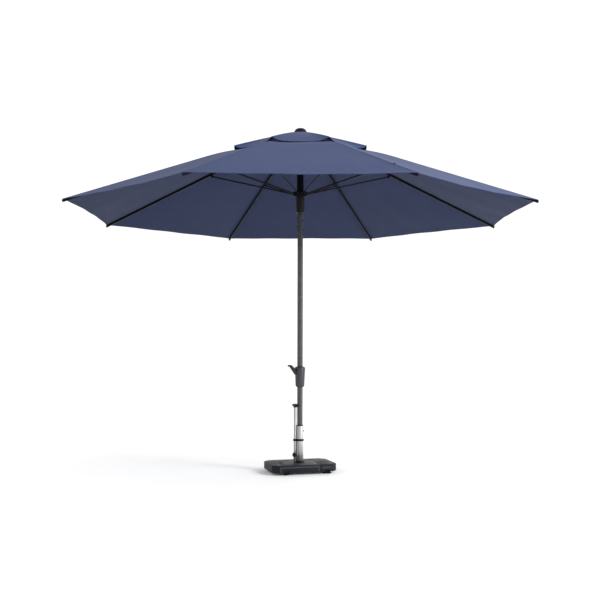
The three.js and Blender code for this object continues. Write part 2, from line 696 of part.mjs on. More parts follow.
// Arched openings in the side walls, above the feet and the wheels.
function arches() {
  const radius = FOOT_DIAMETER / 2;
  const depth = BASE_WIDTH / 2 - FOOT_Y;
  const middle = BASE_WIDTH / 2 + 1 - depth / 2;
  const made = [];
  for (const x of [FOOT_X, WHEEL_X]) {
    for (const side of [1, -1]) {
      const arch = new THREE.CylinderGeometry(radius, radius, depth, 24);
      made.push(arch.translate(x, side * middle, BASE_UNDERSIDE - ARCH_SINK));
    }
  }
  return made;
}


function baseShells() {
  const handleHole = disc(HANDLE_DIAMETER / 2 + SLIDE_GAP, BASE_TOP - 20, BASE_TOP + 20);
  handleHole.translate(HANDLE_X, 0, 0);
  const hollow = slab(SHELL_WALL, BASE_UNDERSIDE - 1, BASE_TOP - SHELL_WALL);
  const whole = cut(slab(0, BASE_UNDERSIDE, BASE_TOP, 7), hollow, handleHole, ...arches());
  const left = block(-BASE_LENGTH, SEAM_X - GAP, -BASE_WIDTH, BASE_WIDTH, 0, BASE_TOP + 10);
  const right = block(SEAM_X + GAP, BASE_LENGTH, -BASE_WIDTH, BASE_WIDTH, 0, BASE_TOP + 10);
  place("base_shell", "plastic", geometryOf(solid(whole).intersect(solid(left))), baseGroup);
  place("base_end_cover", "plastic", geometryOf(solid(whole).intersect(solid(right))), baseGroup);
}

function ballast() {
  const gap = 1.5;
  const groove = AXLE_DIAMETER / 2 + GAP;
  const grooveTop = AXLE_HEIGHT + groove;
  const axleRoom = block(WHEEL_X - groove, WHEEL_X + groove, -BASE_WIDTH, BASE_WIDTH, 0, grooveTop);
  const handleRoom = disc(HANDLE_DIAMETER / 2 + 3, BASE_TOP - HANDLE_SOCKET_DEPTH - 6, BASE_TOP);
  handleRoom.translate(HANDLE_X, 0, 0);
  const body = slab(SHELL_WALL + gap, BASE_UNDERSIDE + 2, BASE_TOP - SHELL_WALL - gap);
  return cut(body, axleRoom, handleRoom, ...wheelWells(3), ...footRoom(gap), ...arches());
}

function wheel(side) {
  const half = WHEEL_WIDTH / 2;
  const radius = WHEEL_DIAMETER / 2;
  const bore = AXLE_DIAMETER / 2 + SLIDE_GAP;
  const tread = turned([
    [bore, -half],
    [radius - 4, -half],
    [radius, -half + 4],
    [radius, half - 4],
    [radius - 4, half],
    [bore, half],
  ]);
  return tread.rotateX(Math.PI / 2).translate(WHEEL_X, side * WHEEL_Y, AXLE_HEIGHT);
}

function foot(side) {
  const radius = FOOT_DIAMETER / 2;
  return turned([
    [0, 0],
    [radius - 2, 0],
    [radius, 2],
    [radius, BASE_UNDERSIDE + FOOT_DEPTH - 3],
    [radius - 3, BASE_UNDERSIDE + FOOT_DEPTH],
    [0, BASE_UNDERSIDE + FOOT_DEPTH],
  ]).translate(FOOT_X, side * FOOT_Y, 0);
}

function flange() {
  const bore = BASE_TUBE_DIAMETER / 2 + GAP;
  const low = BASE_TOP + GAP;
  const body = turned([
    [bore, low],
    [FLANGE_DIAMETER / 2, low],
    [FLANGE_DIAMETER / 2, low + 5],
    [BASE_TUBE_DIAMETER / 2 + 7, low + 8],
    [BASE_TUBE_DIAMETER / 2 + 4, low + FLANGE_HEIGHT],
    [bore, low + FLANGE_HEIGHT],
  ]);
  const handleRoom = disc(HANDLE_DIAMETER / 2 + SLIDE_GAP, 0, 400).translate(HANDLE_X, 0, 0);
  return cut(body, handleRoom);
}

function baseTube() {
  const outer = BASE_TUBE_DIAMETER / 2;
  const inner = outer - BASE_TUBE_WALL;
  const walls = join(
    pipe(outer, inner, BASE_TOP + GAP, BASE_TUBE_TOP),
    disc(inner + 0.5, BASE_TOP + GAP, POLE_BOTTOM - GAP),
  );
  const knobBoss = outward(pipe(10, SCREW_HOLE, outer - 1, outer + KNOB_BOSS, 20), KNOB_HEIGHT);
  const knobHole = outward(disc(SCREW_HOLE, 10, outer + KNOB_STANDOFF, 20), KNOB_HEIGHT);
  const boltHole = outward(disc(SCREW_HOLE, 10, outer + 11, 20), BOLT_HEIGHT);
  knobBoss.rotateZ(radians(KNOB_AZIMUTH - BASE_YAW));
  knobHole.rotateZ(radians(KNOB_AZIMUTH - BASE_YAW));
  boltHole.rotateZ(radians(-BASE_YAW));
  const handleRoom = disc(HANDLE_DIAMETER / 2 + SLIDE_GAP, 0, BASE_TUBE_TOP).translate(HANDLE_X, 0, 0);
  return cut(join(walls, knobBoss), knobHole, boltHole, handleRoom);
}

function tubeClip() {
  const height = 18;
  const low = CLIP_HEIGHT - height / 2;
  const high = CLIP_HEIGHT + height / 2;
  const wall = 4;
  const tubeRing = disc(BASE_TUBE_DIAMETER / 2 + wall, low, high);
  const rodRing = disc(HANDLE_DIAMETER / 2 + wall, low, high).translate(HANDLE_X, 0, 0);
  return cut(
    join(tubeRing, rodRing),
    disc(BASE_TUBE_DIAMETER / 2 + GAP, low - 1, high + 1),
    disc(HANDLE_DIAMETER / 2 + GAP / 2, low - 1, high + 1).translate(HANDLE_X, 0, 0),
  );
}

function bushing() {
  const inner = POLE_DIAMETER / 2 + GAP;
  const outer = BASE_TUBE_DIAMETER / 2;
  return turned([
    [inner, BASE_TUBE_TOP - 30],
    [outer - BASE_TUBE_WALL - GAP, BASE_TUBE_TOP - 30],
    [outer - BASE_TUBE_WALL - GAP, BASE_TUBE_TOP + GAP],
    [outer, BASE_TUBE_TOP + GAP],
    [outer - 1, BASE_TUBE_TOP + 5],
    [inner + 2, BASE_TUBE_TOP + 8],
    [inner, BASE_TUBE_TOP + 8],
  ]);
}

function handleGrip() {
  const half = GRIP_LENGTH / 2;
  const outline = new THREE.Shape();
  outline.moveTo(-half, -7);
  outline.quadraticCurveTo(0, -3, half, -7);
  outline.quadraticCurveTo(half + 6, 4, half - 4, 10);
  outline.quadraticCurveTo(0, 26, -half + 4, 10);
  outline.quadraticCurveTo(-half - 6, 4, -half, -7);
  const bar = new THREE.ExtrudeGeometry(outline, {
    depth: 16,
    steps: 1,
    curveSegments: 8,
    bevelThickness: 4,
    bevelSize: 3,
    bevelOffset: -3,
    bevelSegments: 2,
  });
  bar.translate(0, 0, -8).rotateX(Math.PI / 2).rotateZ(Math.PI / 2);
  bar.translate(HANDLE_X, 0, HANDLE_TOP + 14);
  const neck = disc(HANDLE_DIAMETER / 2 + 3, HANDLE_TOP + GAP, HANDLE_TOP + 16).translate(HANDLE_X, 0, 0);
  return join(bar, neck);
}

function starKnob() {
  const radius = KNOB_DIAMETER / 2;
  const lobes = 5;
  const outline = new THREE.Shape();
  for (let step = 0; step < lobes * 8; step++) {
    const angle = (step / (lobes * 8)) * 2 * Math.PI;
    const reach = radius - 2 + 2 * Math.cos(lobes * angle) - 1.5;
    const x = reach * Math.cos(angle);
    const y = reach * Math.sin(angle);
    step ? outline.lineTo(x, y) : outline.moveTo(x, y);
  }
  const head = new THREE.ExtrudeGeometry(outline, {
    depth: 12,
    steps: 1,
    bevelThickness: 3,
    bevelSize: 2,
    bevelOffset: -0.5,
    bevelSegments: 2,
  });
  const start = BASE_TUBE_DIAMETER / 2 + KNOB_STANDOFF;
  head.translate(0, 0, start + 3);
  const neck = disc(SCREW_HOLE, BASE_TUBE_DIAMETER / 2 + KNOB_BOSS + SLIDE_GAP, start + 2);
  const stud = disc(SCREW_HOLE - 1, POLE_DIAMETER / 2 + SLIDE_GAP, start + 6, 20);
  return outward(join(head, neck, stud), KNOB_HEIGHT).rotateZ(radians(KNOB_AZIMUTH - BASE_YAW));
}

function clampBolt() {
  const outer = BASE_TUBE_DIAMETER / 2;
  const head = new THREE.CylinderGeometry(8, 8, 6, 6).rotateX(Math.PI / 2).translate(0, 0, outer + 4);
  const stud = disc(SCREW_HOLE - 1, POLE_DIAMETER / 2 + SLIDE_GAP, outer + 4, 20);
  return outward(join(head, stud), BOLT_HEIGHT).rotateZ(radians(-BASE_YAW));
}

function buildBase() {
  baseShells();
  place("concrete_ballast", "ballast", ballast(), baseGroup);
  const axle = disc(AXLE_DIAMETER / 2, -WHEEL_Y - WHEEL_WIDTH / 2 - 3, WHEEL_Y + WHEEL_WIDTH / 2 + 3, 20);
  place("wheel_axle", "steel", axle.rotateX(Math.PI / 2).translate(WHEEL_X, 0, AXLE_HEIGHT), baseGroup);
  [
    ["front", -1],
    ["rear", 1],
  ].forEach(([where, side]) => {
    place(`wheel_${where}`, "rubber", wheel(side), baseGroup);
    place(`foot_${where}`, "rubber", foot(side), baseGroup);
  });
  place("tube_flange", "plastic", flange(), baseGroup);
  place("base_tube", "steel", baseTube(), baseGroup);
  place("tube_clip", "plastic", tubeClip(), baseGroup);
  place("pole_bushing", "plastic", bushing(), baseGroup);
  const rod = pipe(
    HANDLE_DIAMETER / 2,
    HANDLE_DIAMETER / 2 - 1.5,
    BASE_TOP - HANDLE_SOCKET_DEPTH,
    HANDLE_TOP,
    24,
  );
  place("handle_rod", "steel", rod.translate(HANDLE_X, 0, 0), baseGroup);
  place("handle_grip", "plastic", handleGrip(), baseGroup);
  place("clamp_knob", "plastic", starKnob(), baseGroup);
  place("clamp_bolt", "steel", clampBolt(), baseGroup);
}

buildBase();
buildMast();
buildCrank();
buildCanopy();

export default parasol;
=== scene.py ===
"""Looks of the crank parasol: sewn canopy, powder-coated frame, brushed base tube and moulded rolling base."""

import json
import math

import bmesh
import bpy
from mathutils import Matrix, Vector


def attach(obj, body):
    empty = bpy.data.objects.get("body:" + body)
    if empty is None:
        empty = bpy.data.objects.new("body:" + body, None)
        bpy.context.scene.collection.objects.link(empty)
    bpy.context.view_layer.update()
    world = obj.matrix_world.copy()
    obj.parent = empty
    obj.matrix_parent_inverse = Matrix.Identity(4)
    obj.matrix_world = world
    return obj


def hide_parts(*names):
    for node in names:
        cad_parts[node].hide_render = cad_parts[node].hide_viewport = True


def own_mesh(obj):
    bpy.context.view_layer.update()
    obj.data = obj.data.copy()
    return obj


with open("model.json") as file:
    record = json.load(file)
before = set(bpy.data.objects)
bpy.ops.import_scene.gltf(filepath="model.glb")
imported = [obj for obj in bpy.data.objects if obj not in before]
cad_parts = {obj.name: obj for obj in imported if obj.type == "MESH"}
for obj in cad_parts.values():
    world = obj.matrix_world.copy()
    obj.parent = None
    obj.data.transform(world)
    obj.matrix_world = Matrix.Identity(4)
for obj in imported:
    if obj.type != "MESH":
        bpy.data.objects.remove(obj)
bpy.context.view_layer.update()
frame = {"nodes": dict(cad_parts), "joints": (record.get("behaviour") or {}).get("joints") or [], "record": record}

# ---------------------------------------------------------------- sizes, in metres, from the frame
JOINTS = {joint["name"]: joint for joint in frame["joints"]}
RIB_COUNT = 8
HALF_SECTOR = math.pi / RIB_COUNT
HUB_PIVOT = Vector(JOINTS["rib_1_hinge"]["pos_m"])
PIVOT_RADIUS = HUB_PIVOT.xy.length
HUB_HEIGHT = HUB_PIVOT.z
CANOPY_RADIUS = 2.0
TIP_HEIGHT = 2.207
KNEE_RADIUS, KNEE_HEIGHT, KNEE_REACH = 0.700, 2.690, 0.130  # where a rib bends, and half the bend's length
FABRIC_RISE = 0.0140  # cloth above a rib's centreline
OPENING_RADIUS = 0.28  # opening under the vent cap
VENT_RADIUS = 0.606
VENT_LIFT = 0.040  # vent cap above the canopy at its corners; its mid-edges rest on the canopy
VENT_SLOPE = 0.292
VENT_HOLE = 0.031  # radius of the hole that the finial clamps
SCALLOP_DEPTH = 0.046
BASE_YAW = math.radians(16.5)


def azimuth(index):
    return HALF_SECTOR * (2 * index + 1)


def rib_height(radius):
    """Height of a rib's centreline at a distance from the mast."""
    inner = (HUB_HEIGHT - KNEE_HEIGHT) / (KNEE_RADIUS - PIVOT_RADIUS)
    outer = (KNEE_HEIGHT - TIP_HEIGHT) / (CANOPY_RADIUS - KNEE_RADIUS)
    past = radius - KNEE_RADIUS
    if past <= -KNEE_REACH:
        return KNEE_HEIGHT - inner * past
    if past >= KNEE_REACH:
        return KNEE_HEIGHT - outer * past
    share = (past + KNEE_REACH) / (2 * KNEE_REACH)
    start = KNEE_HEIGHT + inner * KNEE_REACH
    end = KNEE_HEIGHT - outer * KNEE_REACH
    return (1 - share) ** 2 * start + 2 * share * (1 - share) * KNEE_HEIGHT + share**2 * end


VENT_CORNER_HEIGHT = rib_height(VENT_RADIUS) + FABRIC_RISE + VENT_LIFT
OUTER_SLOPE = math.atan2(KNEE_HEIGHT - TIP_HEIGHT, CANOPY_RADIUS - KNEE_RADIUS)


# ---------------------------------------------------------------- materials
def linear(red, green, blue):
    """A linear RGBA colour from display values of 0 to 255."""
    channels = []
    for value in (red, green, blue):
        share = value / 255
        channels.append(((share + 0.055) / 1.055) ** 2.4 if value > 10 else share / 12.92)
    return (*channels, 1.0)


def toned(colour, factor, lift=0.0):
    """The colour made paler or darker."""
    return (*(min(1, channel * factor + lift) for channel in colour[:3]), 1.0)


class Look:
    """A node material with a few shorthands."""

    def __init__(self, name, roughness=0.5, metallic=0.0):
        self.material = bpy.data.materials.new(name)
        self.material.use_nodes = True
        self.tree = self.material.node_tree
        self.shader = self.tree.nodes["Principled BSDF"]
        self.shader.inputs["Roughness"].default_value = roughness
        self.shader.inputs["Metallic"].default_value = metallic

    def add(self, kind, **values):
        node = self.tree.nodes.new(kind)
        for key, value in values.items():
            if key in node.inputs:
                node.inputs[key].default_value = value
            else:
                setattr(node, key, value)
        return node

    def link(self, source, target):
        self.tree.links.new(source, target)

    def coordinates(self, output="Object"):
        return self.add("ShaderNodeTexCoord").outputs[output]

    def scaled(self, source, scale):
        node = self.add("ShaderNodeMapping", Scale=scale)
        self.link(source, node.inputs["Vector"])
        return node.outputs["Vector"]

    def noise(self, source, scale, detail=4.0, rough=0.55):
        node = self.add("ShaderNodeTexNoise", Scale=scale, Detail=detail, Roughness=rough)
        self.link(source, node.inputs["Vector"])
        return node.outputs["Fac"]

    def worn_edges(self, start, end, strength):
        """A mask of the mesh's outer edges."""
        geometry = self.add("ShaderNodeNewGeometry")
        return self.ramp(geometry.outputs["Pointiness"], [(start, 0.0), (end, strength)])

    def ramp(self, source, stops):
        """A colour ramp. The stops are (place, grey or colour)."""
        node = self.add("ShaderNodeValToRGB")
        elements = node.color_ramp.elements
        while len(elements) < len(stops):
            elements.new(0.5)
        for element, (place, value) in zip(elements, stops):
            element.position = place
            element.color = value if hasattr(value, "__len__") else (value, value, value, 1)
        self.link(source, node.inputs["Fac"])
        return node.outputs["Color"]

    def math(self, operation, first, second):
        node = self.add("ShaderNodeMath", operation=operation)
        for place, value in enumerate((first, second)):
            if isinstance(value, (int, float)):
                node.inputs[place].default_value = value
            else:
                self.link(value, node.inputs[place])
        return node.outputs["Value"]

    def mix(self, share, first, second):
        node = self.add("ShaderNodeMix", data_type="RGBA")
        for socket, value in ((0, share), (6, first), (7, second)):  # its factor and two colour sockets
            if isinstance(value, (int, float, tuple)):
                node.inputs[socket].default_value = value
            else:
                self.link(value, node.inputs[socket])
        return node.outputs[2]

    def colour(self, source):
        self.link(source, self.shader.inputs["Base Color"])

    def rough(self, source):
        self.link(source, self.shader.inputs["Roughness"])

    def bump(self, source, distance, strength, over=None):
        """Bumps the surface, on top of the normal of an earlier bump if one is given."""
        node = self.add("ShaderNodeBump", Strength=strength, Distance=distance)
        self.link(source, node.inputs["Height"])
        if over:
            self.link(over, node.inputs["Normal"])
        self.link(node.outputs["Normal"], self.shader.inputs["Normal"])
        return node.outputs["Normal"]


TONE_DRIFT = 0.05  # how far powder coat strays from its colour


def coated_steel(name, colour, roughness, shine):
    """Powder coat: fine orange peel, a little tone drift, paler worn edges."""
    look = Look(name, roughness)
    place = look.coordinates()
    drift = look.noise(place, scale=9.0, detail=3.0)
    tone = look.mix(drift, toned(colour, 1 - TONE_DRIFT), toned(colour, 1 + TONE_DRIFT))
    look.colour(look.mix(look.worn_edges(0.52, 0.60, 0.35), tone, toned(colour, 2.0, 0.004)))
    look.rough(look.ramp(drift, [(0.3, roughness - 0.02), (0.7, roughness + 0.04)]))
    look.bump(look.noise(place, scale=900.0, detail=2.0), distance=0.00012, strength=0.5)
    look.shader.inputs["Specular IOR Level"].default_value = shine
    return look.material


def brushed_steel(name):
    """Drawn tube: fine streaks, broad dark bands along its length that are painted reflections, and a cloudy tone.
    """
    look = Look(name, 0.28, 1.0)
    place = look.coordinates()
    streaks = look.noise(look.scaled(place, (900, 900, 18)), scale=1.0, detail=3.0, rough=0.7)
    cloud = look.noise(place, scale=14.0, detail=3.0)
    # Painted reflection: broad dark bands down the tube's length stand in for dark surroundings mirrored in the
    # steel
    reflection_bands = look.noise(look.scaled(place, (60, 60, 0.4)), scale=1.0, detail=1.0)
    tone = look.mix(streaks, linear(172, 172, 172), linear(212, 212, 211))
    with_reflection_bands = look.mix(look.ramp(reflection_bands, [(0.42, 0.55), (0.58, 0.0)]), tone, linear(84, 84, 85))
    look.colour(look.mix(look.ramp(cloud, [(0.35, 0.0), (0.75, 0.25)]), with_reflection_bands, linear(180, 179, 177)))
    look.rough(look.ramp(streaks, [(0.2, 0.30), (0.8, 0.46)]))
    look.bump(streaks, distance=0.00006, strength=0.6)
    return look.material


def moulded_plastic(name, colour, roughness, shine, grain=1100.0, depth=0.00012):
    """Injection-moulded plastic: fine spark grain, dusty cloud, rubbed edges."""
    look = Look(name, roughness)
    place = look.coordinates()
    cloud = look.noise(place, scale=11.0, detail=4.0)
    tone = look.mix(look.ramp(cloud, [(0.4, 0.0), (0.8, 0.6)]), colour, toned(colour, 1.4, 0.001))
    look.colour(look.mix(look.worn_edges(0.51, 0.60, 0.5), tone, toned(colour, 2.2, 0.004)))
    look.rough(look.ramp(cloud, [(0.3, roughness - 0.07), (0.7, roughness + 0.1)]))
    look.bump(look.noise(place, scale=grain, detail=2.0), distance=depth, strength=0.6)
    look.shader.inputs["Specular IOR Level"].default_value = shine
    return look.material


def concrete(name):
    look = Look(name, 0.92)
    grain = look.noise(look.coordinates(), scale=160.0, detail=8.0, rough=0.7)
    look.colour(look.ramp(grain, [(0.3, linear(120, 117, 112)), (0.7, linear(168, 165, 158))]))
    look.bump(grain, distance=0.0008, strength=0.7)
    return look.material


WEAVE_SCALE = 312.5  # of the wave texture: a thread over and under in 2 pi / (20 * 312.5) = 1 mm


def woven_polyester(name, cloth_colour):
    """Solution-dyed polyester: plain weave, faint streaks along the threads, soft handling creases."""
    look = Look(name, 0.82)
    place = look.coordinates("UV")
    threads = []
    for direction in ("X", "Y"):
        wave = look.add("ShaderNodeTexWave", bands_direction=direction, Scale=WEAVE_SCALE)
        wave.inputs["Distortion"].default_value = 0.6
        wave.inputs["Detail"].default_value = 1.0
        look.link(place, wave.inputs["Vector"])
        threads.append(wave.outputs["Fac"])
    weave = look.math("MULTIPLY", *threads)
    streak = look.noise(look.scaled(place, (260, 3, 1)), scale=1.0, detail=3.0)
    cloud = look.noise(place, scale=2.6, detail=4.0)
    crease = look.noise(look.scaled(place, (5, 1.6, 1)), scale=1.0, detail=5.0, rough=0.5)
    colour = linear(*cloth_colour)
    dark = toned(colour, 0.86)
    tone = look.mix(look.ramp(streak, [(0.3, 0.0), (0.7, 1.0)]), dark, toned(colour, 1.14))
    faded = look.mix(look.ramp(cloud, [(0.35, 0.0), (0.8, 0.35)]), tone, toned(colour, 1.2))
    look.colour(look.mix(look.ramp(weave, [(0.0, 0.16), (0.5, 0.0)]), faded, dark))
    look.rough(look.ramp(cloud, [(0.3, 0.76), (0.8, 0.88)]))
    soft = look.bump(crease, distance=0.012, strength=0.5)
    look.bump(weave, distance=0.00025, strength=0.5, over=soft)
    look.shader.inputs["Sheen Weight"].default_value = 0.04
    look.shader.inputs["Sheen Roughness"].default_value = 0.5
    look.shader.inputs["Specular IOR Level"].default_value = 0.06
    return look.material


def thread(name, colour):
    look = Look(name, 0.7)
    twist = look.noise(look.coordinates(), scale=2600.0, detail=1.0)
    look.colour(look.mix(twist, colour, toned(colour, 1.5)))
    look.bump(twist, distance=0.0002, strength=0.6)
    return look.material


FABRIC = woven_polyester("navy_polyester", (49, 61, 97))
# A darker copy of the same cloth for every underside face: painted shade under the canopy
SHADED_UNDERSIDE = woven_polyester("navy_polyester_shaded_underside", (38, 46, 72))
STITCH = thread("stitch_thread", linear(44, 52, 80))
RIB_PAINT = coated_steel("rib_powder_coat", linear(11, 12, 15), 0.42, 0.08)
POLE_PAINT = coated_steel("pole_powder_coat", linear(54, 55, 58), 0.26, 0.4)
HOUSING = moulded_plastic("housing_plastic", linear(42, 42, 47), 0.34, 0.35)
BLACK = moulded_plastic("black_plastic", linear(9, 10, 15), 0.40, 0.10)
BASE = moulded_plastic("base_plastic", linear(24, 25, 30), 0.5, 0.11, 700.0, 0.0003)
# A paler, shinier copy of the base plastic for the raised bead and slats on the front
BASE_PALE_TRIM = moulded_plastic("base_plastic_pale_trim", linear(62, 64, 70), 0.5, 0.3, 700.0, 0.0003)
RUBBER = moulded_plastic("rubber", linear(14, 14, 16), 0.8, 0.1, 400.0, 0.0003)
STEEL = brushed_steel("brushed_stainless")
CONCRETE = concrete("cast_concrete")

SLOT_LOOKS = {
    "canopy_fabric": FABRIC,
    "rib_paint": RIB_PAINT,
    "pole_paint": POLE_PAINT,
    "housing_plastic": HOUSING,
    "black_plastic": BLACK,
    "base_plastic": BASE,
    "stainless_steel": STEEL,
    "rubber": RUBBER,
    "concrete": CONCRETE,
}

# CAD nodes that look different from the rest of their slot
NODE_LOOKS = {
    # The axle's steel is darkened as painted shade for its end deep inside the wheel arch
    "wheel_axle": coated_steel("axle_steel_shaded_in_arch", linear(40, 40, 41), 0.4, 0.2),
    "crank_arm": moulded_plastic("lever_plastic", linear(22, 22, 27), 0.4, 0.15),
}


WELD_DISTANCE = 0.00002
EDGE_SOFTENING = 0.0009
SHARP_ANGLE = math.radians(38)


def dress_cad_nodes():
    """Gives every CAD node its material, soft shading and slightly rounded edges."""
    for part in frame["record"]["subparts"]:
        node = frame["nodes"][part["node"]]
        node.data.materials.clear()
        node.data.materials.append(NODE_LOOKS.get(part["node"]) or SLOT_LOOKS[part["material_slot"]])
        weld = node.modifiers.new("weld", "WELD")
        weld.merge_threshold = WELD_DISTANCE
        edge = node.modifiers.new("edge", "BEVEL")
        edge.width = EDGE_SOFTENING
        edge.segments = 2
        edge.limit_method = "ANGLE"
        edge.angle_limit = SHARP_ANGLE
        edge.harden_normals = False
        node.data.shade_smooth()
        node.data.set_sharp_from_angle(angle=SHARP_ANGLE)


# ---------------------------------------------------------------- pieces
def piece(name, mesh, material, body, smooth_angle=35, second_material=None):
    """A visible piece that rides a body. Edges sharper than smooth_angle, in degrees, stay crisp."""
    mesh.materials.append(material)
    if second_material:
        mesh.materials.append(second_material)
    mesh.shade_smooth()
    mesh.set_sharp_from_angle(angle=math.radians(smooth_angle))
    made = bpy.data.objects.new(name, mesh)
    bpy.context.scene.collection.objects.link(made)
    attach(made, body)
    return made


def from_bmesh(name, shape):
    mesh = bpy.data.meshes.new(name)
    bmesh.ops.recalc_face_normals(shape, faces=shape.faces)
    shape.to_mesh(mesh)
    shape.free()
    return mesh


def revolved(name, profile, segments, place=Matrix.Identity(4)):
    """A closed turned piece. The profile is (radius, height) points, on the axis at both ends."""
    shape = bmesh.new()
    angles = [2 * math.pi * k / segments for k in range(segments)]
    rings = []
    for radius, height in profile:
        around = angles if radius > 0 else [0.0]
        rings.append([shape.verts.new((radius * math.cos(a), radius * math.sin(a), height)) for a in around])
    for low, high in zip(rings, rings[1:]):
        for k in range(segments):
            following = (k + 1) % segments
            corners = [low[k % len(low)], low[following % len(low)]]
            corners += [high[following % len(high)], high[k % len(high)]]
            corners = list(dict.fromkeys(corners))  # a point on the axis counts once
            if len(corners) > 2:
                shape.faces.new(corners)
    shape.transform(place)
    return from_bmesh(name, shape)


def rounded(outline, radius, steps):
    """The same closed outline with its corners rounded."""
    result = []
    for k, corner in enumerate(outline):
        here = Vector(corner)
        before, after = Vector(outline[k - 1]), Vector(outline[(k + 1) % len(outline)])
        reach = min(radius, (before - here).length * 0.45, (after - here).length * 0.45)
        start = here + (before - here).normalized() * reach
        end = here + (after - here).normalized() * reach
        for step in range(steps + 1):
            share = step / steps
            result.append(tuple((1 - share) ** 2 * start + 2 * share * (1 - share) * here + share**2 * end))
    return result


def spread(count, start, end):
    """Evenly spaced values, both ends included."""
    return [start + (end - start) * k / (count - 1) for k in range(count)]


# ---------------------------------------------------------------- canopy
SEAM_HALF = 0.011  # half the width of the flat-felled seam over each rib
HEM = 0.030  # width of the hem
CLOTH = 0.0014  # thickness
RELIEF = 0.0012  # a seam or hem stands this much prouder on top
UNDER_RELIEF = 0.6  # and this share of it underneath
MAIN_STRETCH, VENT_STRETCH = 1.06, 1.05  # length along the slope for each metre outwards
HEM_OVERHANG = 0.006  # cloth past the rib tips
BELLY, HEM_SAG = 0.012, 0.020  # how far a main panel hangs below its ribs, between and at the hem
VENT_BULGE = 0.006
# Slack folds of a main panel: waves per metre out, sideways and skew, turns of the panel's phase, height
FOLDS = ((7.0, 2.3, 0.0, 1, 0.0022), (3.1, 0.0, 5.5, 2, 0.0018))
PANEL_PHASE = 1.7
CLOTH_SMOOTH = 60  # degrees
STITCH_PITCH, STITCH_LENGTH, STITCH_WIDTH, STITCH_HEIGHT = 0.007, 0.0048, 0.0011, 0.0006
STITCH_SUNK = 0.0001


def crown(across):
    """0 on the rib, 1 and level at mid-panel."""
    return across * (2 - across)


def panel_point(reach, across, side):
    """Place in plan, with the rib along +X. across is 0 on the rib and 1 at mid-panel."""
    along = reach * math.cos(HALF_SECTOR)
    lateral = max(reach * math.sin(HALF_SECTOR) * (1 - across), 0.0)
    x = along * math.cos(HALF_SECTOR) + lateral * math.sin(HALF_SECTOR)
    y = side * (along * math.sin(HALF_SECTOR) - lateral * math.cos(HALF_SECTOR))
    return x, y


def ripple(index, side, reach, across):
    """Slack in the cloth: long soft folds across each panel, which die out on the ribs."""
    panel = index if side > 0 else (index - 1) % RIB_COUNT
    lateral = side * (across - 1)  # -1 on one rib, 0 at mid-panel, 1 on the next rib
    pull = 0.0
    for out, sideways, skew, turns, height in FOLDS:
        angle = out * reach + sideways * lateral + skew * lateral * reach + turns * PANEL_PHASE * panel
        pull += height * math.sin(angle)
    return pull * crown(across) * min(1, (reach - OPENING_RADIUS) * 3)


def main_cloth_point(index, reach_share, across, side):
    """(place under a main panel's cloth, its reach, the reach of the hem beside it)"""
    edge = CANOPY_RADIUS + HEM_OVERHANG - SCALLOP_DEPTH * crown(across) ** 0.9
    reach = OPENING_RADIUS + reach_share * (edge - OPENING_RADIUS)
    x, y = panel_point(reach, across, side)
    hang = BELLY * math.sin(math.pi * reach_share) + HEM_SAG * reach_share**3
    height = rib_height(reach) + FABRIC_RISE - hang * crown(across) + ripple(index, side, reach, across)
    return Vector((x, y, height)), reach, edge


def vent_cloth_point(index, reach_share, across, side):
    """The same for the vent cap, whose edge dips between its corners onto the canopy."""
    reach = VENT_HOLE + reach_share * (VENT_RADIUS - VENT_HOLE)
    x, y = panel_point(reach, across, side)
    share = reach / VENT_RADIUS
    droop = VENT_LIFT * (1 - (1 - across) ** 4) * share**2.2
    bulge = VENT_BULGE * math.sin(math.pi * share)
    height = VENT_CORNER_HEIGHT + VENT_SLOPE * (VENT_RADIUS - reach) + bulge - droop
    return Vector((x, y, height)), reach, VENT_RADIUS


def cloth_columns(width):
    """Shares across half a panel, close together at the seam: 0 on the rib, 1 at mid-panel."""
    seam = SEAM_HALF / width
    return [0.0, seam * 0.55, seam * 0.92, seam * 1.08] + spread(12, seam * 1.6, 1.0)


def cloth_rows(length, count):
    """Shares along the rib, close together at the hem."""
    hem = HEM / length
    return spread(count, 0.0, 1 - hem * 1.5) + [1 - hem * 1.06, 1 - hem * 0.94, 1 - hem * 0.5, 1.0]


